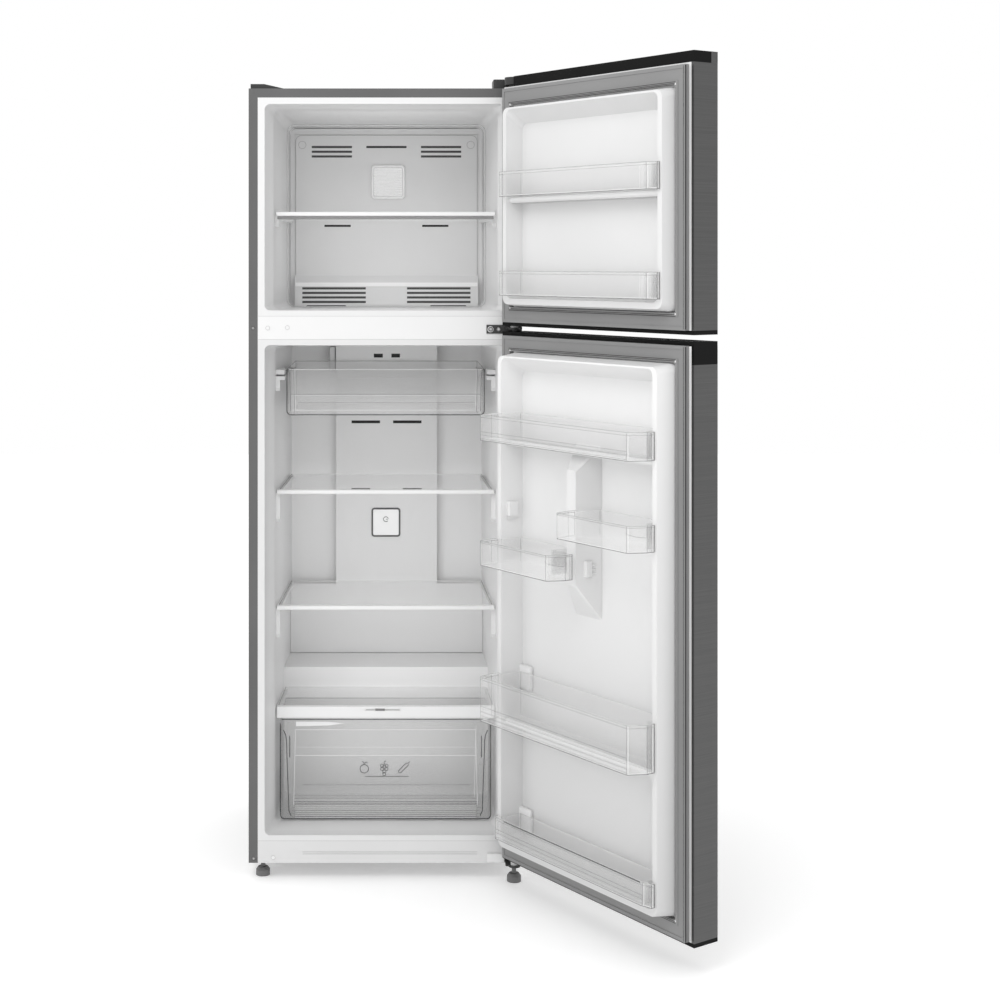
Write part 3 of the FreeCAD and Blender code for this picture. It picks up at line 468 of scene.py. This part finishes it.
for name, (rear, front, depths, (low, high), kind) in BINS.items():
    back, step, reach = depths[:3]
    # painted shade along each clear bin's edges where the real plastic bends the light, darker shadow lines,
    # and painted highlights along its lips and corners
    dark = Piece(name + "_rim_and_corner_shade", EDGE_SHADE_SOFT, name, "clear_plastic", at_door)
    deep = Piece(name + "_shadow_lines", EDGE_SHADE_DARK, name, "clear_plastic", at_door)
    light = Piece(name + "_highlights", EDGE_HIGHLIGHT, name, "clear_plastic", at_door)
    line = bin_front(front, depths, 0.5)
    inner = bin_front(front, depths, 2.6)
    band = 6.0 if kind != "half" else 4.0
    # round the rim and the foot
    dark.tube(level(line, high - 0.5), 0.45)
    dark.tube(level(line, high - band), 0.35)
    light.tube(level(inner, high - 1.2), 1.1)
    dark.tube(level(line, low + 0.6), 0.45)
    light.tube(level(inner, low + 1.6), 1.3)
    deep.tube(level(line[2:], low + 0.4), 0.55)
    # up the corners and the ends
    deep.upright(front[1] - 0.3, step + 0.5, low + 0.5, high - 0.5, 0.55)
    for t, d in (line[1], line[3], line[4], line[6]):
        dark.upright(t, d, low + 0.6, high - 0.6, 0.4)
    for t, d in ((front[1] - 0.6, step + 1), (front[1] - 0.6, step + 6), (front[0] + 0.6, step + 1)):
        dark.upright(t, d, low + 1, high - 0.5, 0.45)
    light.upright(front[1] - 1.4, step + 3.5, low + 1.5, high - 1.5, 1.2)
    light.upright(line[4][0] + 2, line[4][1] - 2.4, low + 2, high - 2, 0.9)
    # round the rear wall
    light.tube([(rear[0] + 1.2, back + 1, high - 1), (rear[1] - 1.2, back + 1, high - 1)], 0.8)
    dark.tube([(rear[0] + 0.7, back + 0.6, high - 0.5), (rear[1] - 0.7, back + 0.6, high - 0.5)], 0.35)
    for t in (rear[0] + 0.7, rear[1] - 0.7):
        dark.upright(t, back + 0.6, low + 1, high - 1, 0.35)
    if kind == "fridge":
        bin_ribs(dark, light, line, low, high, 0.34)
    if kind == "bottom":
        bin_ribs(dark, light, line, low, high, 0.45)
        # painted shade in a slot along the bottom bin's front, below its rim
        slot_start = (inner[3][0] + 26, line[3][1] + 0.1, high - 3.0)
        slot_end = (inner[4][0] - 4, line[3][1] + 0.6, high - 0.9)
        deep.block(slot_start, slot_end, 0.2)
    if kind == "half":
        bin_wave(dark, line, front, high)
    if kind == "freezer":
        # three painted highlight lines near the freezer bins' far end
        for n in range(3):
            light.upright(front[1] - 40 + n * 5, reach - 1.6, low + 3, high - 2, 0.5)
    dark.done()
    deep.done()
    light.done()


# ---------------------------------------------------------------- drawers

def tray_front(half, depth, foot, rim):
    """Down one side of a drawer's front, round its lower corners and up the other side."""
    r = 9
    line = [(-half, depth, rim), (-half, depth, foot + r)]
    for angle in (22, 45, 68, 90):
        a = math.radians(angle)
        line.append((-half + r - r * math.cos(a), depth, foot + r - r * math.sin(a)))
    return line + [(-x, y, z) for x, y, z in line[::-1]]


# the chiller drawer: lines in its front wall and its back wall, at its rim, and where the upright ones begin
CHILLER_FRONT = 101.4
CHILLER_BACK = 423
CHILLER_RIM = 1114
CHILLER_LOW = 1020

# painted shade along the clear chiller drawer's outline and walls where the real plastic bends the light,
# and painted highlights along its rim and walls
edge = Piece("chiller_outline_shade", EDGE_SHADE_DARK, "chiller_drawer", "clear_plastic")
edge.tube(tray_front(222.4, CHILLER_FRONT, 1011.5, 1114.6), 1.15)
for side in (-1, 1):
    curl = ((221.6, CHILLER_FRONT), (211, 130), (206, 160))
    edge.tube([(side * x, y, CHILLER_RIM) for x, y in curl], 0.7)
    edge.tube([(side * 214, 101.2, CHILLER_LOW), (side * 216, 101.2, 1108)], 0.5)
edge.done()
soft = Piece("chiller_wall_shade", EDGE_SHADE_SOFT, "chiller_drawer", "clear_plastic")
for side in (-1, 1):
    soft.tube([(side * 205, 100.8, 1018), (side * 207, 100.8, CHILLER_RIM)], 0.5)
    soft.tube([(side * 222, 106, CHILLER_RIM), (side * 222, 420, CHILLER_RIM)], 0.6)
    soft.upright(side * 221, CHILLER_BACK, CHILLER_LOW, CHILLER_RIM, 0.6)
soft.across(221, CHILLER_BACK, CHILLER_RIM, 0.6)
soft.across(216, CHILLER_BACK, 1013, 0.6)
soft.across(214, 101, 1058, 0.4)
soft.done()
highlight_piece = Piece("chiller_highlights", EDGE_HIGHLIGHT, "chiller_drawer", "clear_plastic")
highlight_piece.across(218, CHILLER_FRONT, 1113.6, 0.8)
highlight_piece.across(212, CHILLER_FRONT, 1022, 0.8)
highlight_piece.across(212, CHILLER_FRONT, 1055, 0.5)
for side in (-1, 1):
    highlight_piece.tube([(side * 203, CHILLER_FRONT, CHILLER_LOW), (side * 205, CHILLER_FRONT, 1112)], 0.7)
    highlight_piece.tube([(side * 213, 420, 1014), (side * 208, 110, 1014)], 0.5)
highlight_piece.done()

# the crisper drawer: lines just before its front wall, and within that wall
CRISPER_BEFORE = 99.6
CRISPER_INSIDE = 101.8

# painted shade along the clear crisper drawer's outline and ribs where the real plastic bends the light
edge = Piece("crisper_outline_shade", EDGE_SHADE_DARK, "crisper_drawer", "clear_plastic")
edge.tube(tray_front(237, 101, 101, 316), 1.15)
for side in (-1, 1):
    edge.block((side * 237.4 - 1.2, 101, 118), (side * 237.4 + 0.5, 104, 312), 0.3)
    grip = [(230, 301), (225, 290), (223, 276), (222.5, 250), (220, 180), (218, 120), (213, 108)]
    edge.tube([(side * x, CRISPER_BEFORE, z) for x, z in grip], 0.9)
    edge.tube([(side * 216, CRISPER_BEFORE, z) for z in (288, 262, 240)], 0.9)
edge.across(234, 100.2, 325.2, 0.9)
edge.done()
soft = Piece("crisper_rib_shade", EDGE_SHADE_SOFT, "crisper_drawer", "clear_plastic")
for n in range(8):
    soft.across(206, 101.2, 107 + 4.6 * n, 0.45)
soft.across(198, 289, 120, 0.6)
soft.tube([(-236, 104, 325), (-236, 288, 325), (236, 288, 325), (236, 104, 325)], 0.7)
soft.done()
# painted highlights along the crisper's front, ribs and sides, and a painted glint on its front
highlight_piece = Piece("crisper_highlights", EDGE_HIGHLIGHT, "crisper_drawer", "clear_plastic")
for z in (302, 262, 244):
    highlight_piece.across(205, CRISPER_INSIDE, z, 0.5)
highlight_piece.plate([(-202, 310), (-128, 311.5), (-92, 317), (-130, 320), (-202, 320.5)], 99.3, 99.8)
for z in (302, 244, 126):
    highlight_piece.across(205, CRISPER_BEFORE, z, 0.7)
for n in range(7):
    highlight_piece.across(204, CRISPER_BEFORE, 104 + 4.4 * n, 0.5)
for side in (-1, 1):
    highlight_piece.tube([(side * 207, CRISPER_BEFORE, 132), (side * 203, CRISPER_BEFORE, 300)], 0.8)
highlight_piece.tube([(200, CRISPER_INSIDE, 150), (204, CRISPER_INSIDE, 310)], 0.9)
highlight_piece.across(205, CRISPER_INSIDE, 143, 0.5)
highlight_piece.done()

# three outline drawings on the crisper's front, apple, grapes and carrot, and the line under them
icons = Piece("crisper_marks", INK, "crisper_drawer", "clear_plastic")


def outline_mark(points, closed=True, r=0.8):
    """A drawn line on the crisper's front."""
    icons.tube([(x, 99.5, z) for x, z in points], r, 5, closed)


outline_mark(circle(-48, 214, 9.5))
outline_mark([(-48, 223.5), (-49, 228), (-53, 231)], False)
outline_mark([(-47, 226), (-43, 230), (-41, 227)], False)
for x, z in ((-3, 219), (-8, 213.5), (2, 213.5), (-3, 208), (-8, 221), (2, 221), (-3, 202)):
    outline_mark(circle(x, z, 3.6, 10), True, 0.7)
outline_mark([(-3, 224), (-3, 230), (1, 232)], False)
outline_mark([(30, 205), (34, 205), (52, 223), (50, 227), (45, 226), (29, 209)])
outline_mark([(50, 226), (55, 230)], False)
outline_mark([(-46, 197), (52, 197)], False, 0.65)
icons.done()


# ---------------------------------------------------------------- shelves

# the glass's front and back, its underside, and half its width at the front and at the back
GLASS = {
    "freezer_shelf": (82, 388, 1460, 246, 232.5),
    "upper_shelf": (114, 427, 834, 244, 233.2),
    "lower_shelf": (114, 427, 573, 244, 233.2),
    "crisper_cover": (114, 286, 348.5, 244, 238),
}

for body, (glass_front, glass_back, low, half_front, half_back) in GLASS.items():
    # painted shade along the glass's cut sides, and a painted highlight along its back edge
    cut = Piece(body + "_glass_edge_shade", EDGE_SHADE_DARK, body, "shelf_glass")
    for side in (-1, 1):
        front_end = (side * (half_front - 1.4), glass_front, low + 3.4)
        back_end = (side * (half_back - 1.4), glass_back, low + 3.4)
        cut.tube([front_end, back_end], 0.55)
    cut.done()
    rim = Piece(body + "_back_edge_highlight", EDGE_HIGHLIGHT, body, "shelf_glass")
    rim.tube([(-half_back + 4, glass_back - 1, low + 3), (half_back - 4, glass_back - 1, low + 3)], 0.9)
    rim.done()

# a grey strip under the freezer shelf's front trim: the glass's own underside, darkened with painted shadow
under = Piece("freezer_shelf_under_shade", EDGE_SHADE_SOFT, "freezer_shelf", "shelf_glass")
under.block((-242, 71, 1451.5), (242, 78, 1458.6), 0.5)
under.done()

slot_line = Piece("slider_slot", INK, "crisper_cover", "shelf_trim")
slot_line.block((-44, 100.8, 346.2), (32, 101.2, 347.0))
slot_line.done(False)


# ---------------------------------------------------------------- badges

plate = Piece("freezer_badge_plate", METAL, "cabinet", "badge_trim")
plate.plate(rounded_outline(-30.6, 38.6, 1515.4, 1585.6, 5), 407.8, 408.35, 0.2)
plate.done()
ring = Piece("freezer_badge_rim", BRIGHT_TRIM_AND_HIGHLIGHT, "cabinet", "badge_trim")
ring.loop(rounded_outline(-34, 42, 1512, 1589, 6), 407.9, 2.9, 8)
ring.done()
plate = Piece("duct_badge_plate", BRIGHT_TRIM_AND_HIGHLIGHT, "cabinet", "badge_trim")
plate.plate(rounded_outline(-32.6, 29.6, 685.4, 747.6, 4), 447.8, 448.35, 0.2)
plate.done()
ring = Piece("duct_badge_rim", INK, "cabinet", "badge_trim")
ring.loop(rounded_outline(-35.2, 32.2, 682.8, 750.2, 5.5), 447.8, 1.9, 8)
# the plain mark in its middle: an open ring with a bar
mark_turns = [math.radians(degrees) for degrees in range(20, 331, 20)]
mark = [(-1.5 + 6 * math.cos(a), 447.7, 724 + 6 * math.sin(a)) for a in mark_turns]
ring.tube(mark, 0.75, 6)
ring.tube([(-1.5, 447.7, 724), (4, 447.7, 724)], 0.6, 6)
ring.done()


# ---------------------------------------------------------------- freezer back cover and its liner

# painted shade rings round the cover's screw caps
caps = Piece("cover_screw_cap_shade", SHADE_LINE, "cabinet", "pale_panel")
for x in (-205, 205):
    caps.loop(circle(x, 1641, 9, 24), 409.9, 0.5, 5)
caps.done()
# a painted shade line along the cover's border
lines = Piece("cover_border_shade", SHADE_LINE, "cabinet", "pale_panel")
upper_edge = [point for point in rounded_outline(-221, 221, 1326, 1664, 14) if point[1] > 1345]
border = [(-221, 1324)] + upper_edge[::-1] + [(221, 1324)]
lines.tube([(x, 409.8, z) for x, z in border], 0.55, 5)
lines.done()

sides = Piece("cover_side_flanges", MATS["white_liner"], "cabinet", "pale_panel")
for left, right in ((-234.2, -222.8), (222.8, 234.2)):
    sides.block((left, 412, 1249), (right, 416, 1680))
sides.block((-222.8, 412, 1666.5), (222.8, 416, 1681))
sides.done(False)

# a painted highlight on the slope over the cover's foot, and painted shadows in the slots behind its face
slope_highlight = Piece("cover_slope", BRIGHT_TRIM_AND_HIGHLIGHT, "cabinet", "pale_panel")
slope_highlight.block((-221, 393.2, 1297), (221, 393.9, 1306), 0.2)
slope_highlight.done()
vents = Piece("vent_shadows", VENT, "cabinet", "pale_panel")
for z in (1613.0, 1624.5, 1636.0):
    for x in (-182, 84):
        vents.block((x, 411, z - 2.7), (x + 98, 412, z + 2.7))
for z in (1259.0, 1270.0, 1281.0, 1292.0):
    for x in (-204, 50):
        vents.block((x, 395, z - 2.7), (x + 154, 396, z + 2.7))
vents.done(False)
# single slots: in the cover at two heights, in the duct over the chiller drawer and lower down, and at
# the cover's foot
slots = Piece("slot_shadows", DEEP_SHADE, "cabinet", "pale_panel")
slots.block((-49, 410.6, 1633.5), (49, 412, 1638.5))
for x in (-151, 87):
    slots.block((x, 410.6, 1441.5), (x + 64, 412, 1446.5))
for x, wide in ((-31, 22), (12, 21)):
    slots.block((x, 430.6, 1122.3), (x + wide, 432, 1131.7))
for x, wide, z in ((16, 70, 963), (-86, 70, 963), (40, 46, 797), (-86, 46, 797)):
    slots.block((x, 450.6, z - 3.5), (x + wide, 452, z + 3.5))
slots.plate([(-197, 1247), (-192, 1251), (-100, 1251), (-94, 1247)], 393, 393.8)
slots.plate([(103, 1247), (108, 1251), (192, 1251), (197, 1247)], 393, 393.8)
slots.done(False)

# painted shade lines and painted highlights on the steps moulded into the freezer liner round the cover,
# where the liner narrows towards the back
steps = Piece("liner_step_shade", SHADE_LINE, "cabinet", "white_liner")
glint = Piece("liner_step_glints", BRIGHT_TRIM_AND_HIGHLIGHT, "cabinet", "white_liner")
for depth in (345, 392):
    wide = 250 - 18 * (depth - 60) / 420 - 0.4
    top = 1697 - 17 * (depth - 60) / 420 - 0.4
    steps.loop(rounded_outline(-wide, wide, 1248.4, top, 18), depth, 0.5)
    glint.loop(rounded_outline(-wide + 0.2, wide - 0.2, 1248.6, top - 0.3, 18), depth + 3, 0.8)
steps.done()
glint.done()


# ---------------------------------------------------------------- cabinet's front and fridge's back

# painted shade lines along the mullion cover's and the base panel's edges, and painted shade rings round the
# hole plugs
seam_shade = Piece("mullion_seams", SHADE_LINE, "cabinet", "white_trim")
for z in (1186, 1237, 85.5):
    seam_shade.block((-279.5, -0.12, z - 0.3), (279.5, 0.1, z + 0.3))
for x, z in ((-258, 1211), (-215, 1212), (-246, 49)):
    seam_shade.loop(circle(x, z, 4.4), -1.2, 0.35, 5)
seam_shade.done()
hinge_cover = Piece("bottom_hinge_cover", MATS["white_trim"], "cabinet", "white_trim")
hinge_cover.block((223, -5.8, 39.6), (261, -0.1, 58.8), 1.0)
hinge_cover.done()
lower_wall = Piece("fridge_lower_back_wall", MATS["white_liner"], "cabinet", "white_liner")
lower_wall.block((-235.6, 448.9, 397), (235.6, 449.7, 566), 0.2)
lower_wall.done()
# painted shade in the base panel's two groove lines
groove_shade = Piece("base_panel_groove", SHADE_LINE, "cabinet", "white_trim")
groove_shade.block((-182, -0.12, 61), (202, 0.5, 61.8))
groove_shade.block((-182, -0.12, 56), (202, 0.5, 56.7))
groove_shade.done()
# painted shade in the gap beside the lamp's lens
lamp_gap_shade = Piece("lamp_gap_shade", DEEP_SHADE, "cabinet", "lamp_lens")
lamp_gap_shade.block((-125.4, 434, 1092), (-124.3, 436, 1146))
lamp_gap_shade.done(False)

ring = Piece("middle_hinge_screw_ring", METAL, "cabinet", "screw_steel")
ring.loop(circle(231, 1208.5, 6.0), -3.4, 1.0, 8)
ring.done()


# ---------------------------------------------------------------- door faces

# the lower and upper ends of each door's painted shade lines on the gasket, of its liner's frame and of its
# folded skin
DOOR_LEVELS = {
    "freezer_door": ((1226, 1731), (1259, 1692), (1227, 1734)),
    "fridge_door": ((67, 1197), (103, 1163), (68, 1160)),
}

for door, ((low, high), (frame_low, frame_high), (skin_low, skin_high)) in DOOR_LEVELS.items():
    # a painted highlight along the fold of the door's skin
    fold_highlight = Piece(door + "_fold", FOLD_HIGHLIGHT, door, "door_steel", at_door)
    fold_highlight.tube([(593.4, -0.5, skin_low), (593.4, -0.5, skin_high)], 0.45, 8)
    fold_highlight.done()
    # painted shade in the gasket's creases, up its sides and along its top and bottom
    seam = Piece(door + "_seams", DEEP_SHADE, door, "gasket_rubber", at_door)
    for t in (576.5, 582.5):
        seam.block((t, 10.6, low + 2), (t + 1.9, 11.4, high - 2))
    for z in (frame_low - 7, frame_low - 4.2, frame_high + 4, frame_high + 6.8):
        seam.block((38, 10.4, z), (556, 11.5, z + 1.2))
    seam.done(False)
    tabs = Piece(door + "_tabs", MATS["white_liner"], door, "white_liner", at_door)
    for t in (40, 553):
        for z in (frame_low - 5, frame_high + 1):
            tabs.block((t, 2, z), (t + 5, 11.5, z + 5), 0.8)
    tabs.done()

# ledges under three bins, with strips of painted shadow beneath them: how far out they reach and the heights
# of their undersides
for door, reach, undersides in (("freezer_door", 30, (1482,)), ("fridge_door", 42, (966, 373))):
    ledge = Piece(door + "_ledges", MATS["white_liner"], door, "white_liner", at_door)
    shade = Piece(door + "_ledge_shade", LEDGE_SHADE, door, "white_liner", at_door)
    for z in undersides:
        ledge.block((62, -3.5, z), (534, reach, z + 11), 3)
        shade.block((63, -3.5, z - 1.2), (533, 22, z - 0.2), 0.3)
    ledge.done()
    shade.done()

pads = Piece("fridge_door_pads", MATS["white_liner"], "fridge_door", "white_liner", at_door)
for top in (494, 189):
    pads.block((62, -3.5, top - 50), (104, 4.4, top), 1.5)
pads.done()
# a painted shade sheet in a notch of the fridge door's liner
notch_shade = Piece("fridge_door_notch", SHEET_SHADE, "fridge_door", "white_liner", at_door)
notch_shade.plate([(518, 384), (536, 384), (536, 366), (532, 372), (524, 378)], 50.1, 50.5)
notch_shade.done()

# dark strips over the foam beside the fridge door's top moulding
strips = Piece("fridge_door_cap_strips", MATS["cap_plastic"], "fridge_door", "cap_plastic", at_door)
for t in (4.2, 587.2):
    strips.block((t, -2.0, 1161), (t + 4.6, -0.1, 1196.5))
strips.done(False)
# a plate over the foam round the freezer door's top pin, in four parts that leave the pin's hole open
pin_plate = Piece("freezer_door_pin_plate", MATS["cap_plastic"], "freezer_door", "cap_plastic", at_door)
pin_plate_parts = (((3, -62), (40.5, -27)), ((3, -27), (11, -14)),
                   ((23, -27), (40.5, -14)), ((3, -14), (40.5, -1.5)))
for a, b in pin_plate_parts:
    pin_plate.block((*a, 1735.05), (*b, 1736.2))
pin_plate.done(False)
end_skin = Piece("freezer_door_end_skin", MATS["door_steel"], "freezer_door", "door_steel", at_door)
end_skin.block((594.3, -60, 1735), (594.6, -45, 1756.5))
end_skin.done(False)

# a thin shaded sheet on one side of the liner's post, from which the half-width bins hang
post_side = Piece("door_post_side", SHEET_SHADE, "fridge_door", "white_liner", at_door)
sheet = bmesh.new()
post_corners = ((326, -3.5, 634), (326, -3.5, 981), (298.8, 41.6, 932), (298.8, 41.6, 703))
sheet.faces.new([sheet.verts.new(at_door(*corner)) for corner in post_corners])
post_side.add(sheet)
post_side.done(False)

ridges = Piece("door_liner_clips", MATS["white_liner"], "fridge_door", "white_liner", at_door)
ridges.block((65, 12, 806), (67.5, 36, 840), 1.0)
for z in (812, 821, 830):
    ridges.block((64.5, 2, z), (66.5, 14, z + 3), 0.6)
for z in (725, 734, 743):
    ridges.block((318, 4, z), (320.5, 16, z + 3), 0.6)
ridges.done()


# ---------------------------------------------------------------- stage, light and camera

WHITE = (1, 1, 1, 1)
# metres from here on, as in the row frame
FLOOR_HALF = 8
FLOOR_GLOW = 0.22

floor_mat = moulded("floor_pale", grey(0.93), 0.6, 0.005, 200, 0.00005)
floor_shader = floor_mat.node_tree.nodes["Principled BSDF"]
floor_mesh = bpy.data.meshes.new("floor")
floor_corners = [(x * FLOOR_HALF, y * FLOOR_HALF, 0) for x, y in ((-1, -1), (1, -1), (1, 1), (-1, 1))]
floor_mesh.from_pydata(floor_corners, [], [(0, 1, 2, 3)])
floor_mesh.materials.append(floor_mat)
floor = bpy.data.objects.new("floor", floor_mesh)
bpy.context.scene.collection.objects.link(floor)
floor_shader.inputs["Emission Color"].default_value = WHITE
floor_shader.inputs["Emission Strength"].default_value = FLOOR_GLOW

world = bpy.data.worlds.new("studio")
bpy.context.scene.world = world
world.use_nodes = True
world.node_tree.nodes["Background"].inputs[0].default_value = WHITE
world.node_tree.nodes["Background"].inputs[1].default_value = 1.0


def area(name, place, target, size, power):
    """A rectangular lamp that the camera and the glossy surfaces don't see."""
    light = bpy.data.lights.new(name, "AREA")
    light.shape = "RECTANGLE"
    light.size, light.size_y = size
    light.energy = power
    o = bpy.data.objects.new(name, light)
    o.location = place
    o.rotation_euler = (Vector(target) - Vector(place)).to_track_quat("-Z", "Y").to_euler()
    o.visible_camera = False
    o.visible_glossy = False
    bpy.context.scene.collection.objects.link(o)


# faint lamps in the mouths of the compartments, facing their backs: depth, height, size and watts
GLOWS = {
    "freezer_glow": (-0.18, 1.62, (0.36, 0.16), 0.06),
    "freezer_glow_low": (-0.18, 1.40, (0.36, 0.16), 0.14),
    "fridge_glow_top": (-0.16, 0.99, (0.36, 0.2), 0.13),
    "fridge_glow_mid": (-0.16, 0.74, (0.36, 0.2), 0.15),
    "fridge_glow_low": (-0.16, 0.48, (0.36, 0.2), 0.12),
    "crisper_glow": (-0.12, 0.24, (0.36, 0.12), 0.12),
}

area("key", (-0.7, -2.4, 3.0), (0.3, -0.2, 1.5), (1.8, 1.2), 25)
for name, (y, z, size, power) in GLOWS.items():
    area(name, (0, y, z), (0, y + 1, z), size, power)

# level and square to the cabinet, so that upright edges stay upright; the shifts place it in the picture
cam = bpy.data.cameras.new("camera")
cam.lens = 61.5
cam.sensor_width = 36
cam.shift_x = 0.103
cam.shift_y = -0.238
cam_obj = bpy.data.objects.new("camera", cam)
cam_obj.location = (0.0257, -4.030, 1.356)
cam_obj.rotation_euler = (math.radians(90), 0, 0)
bpy.context.scene.collection.objects.link(cam_obj)
bpy.context.scene.camera = cam_obj

bpy.context.scene.view_settings.view_transform = "Standard"
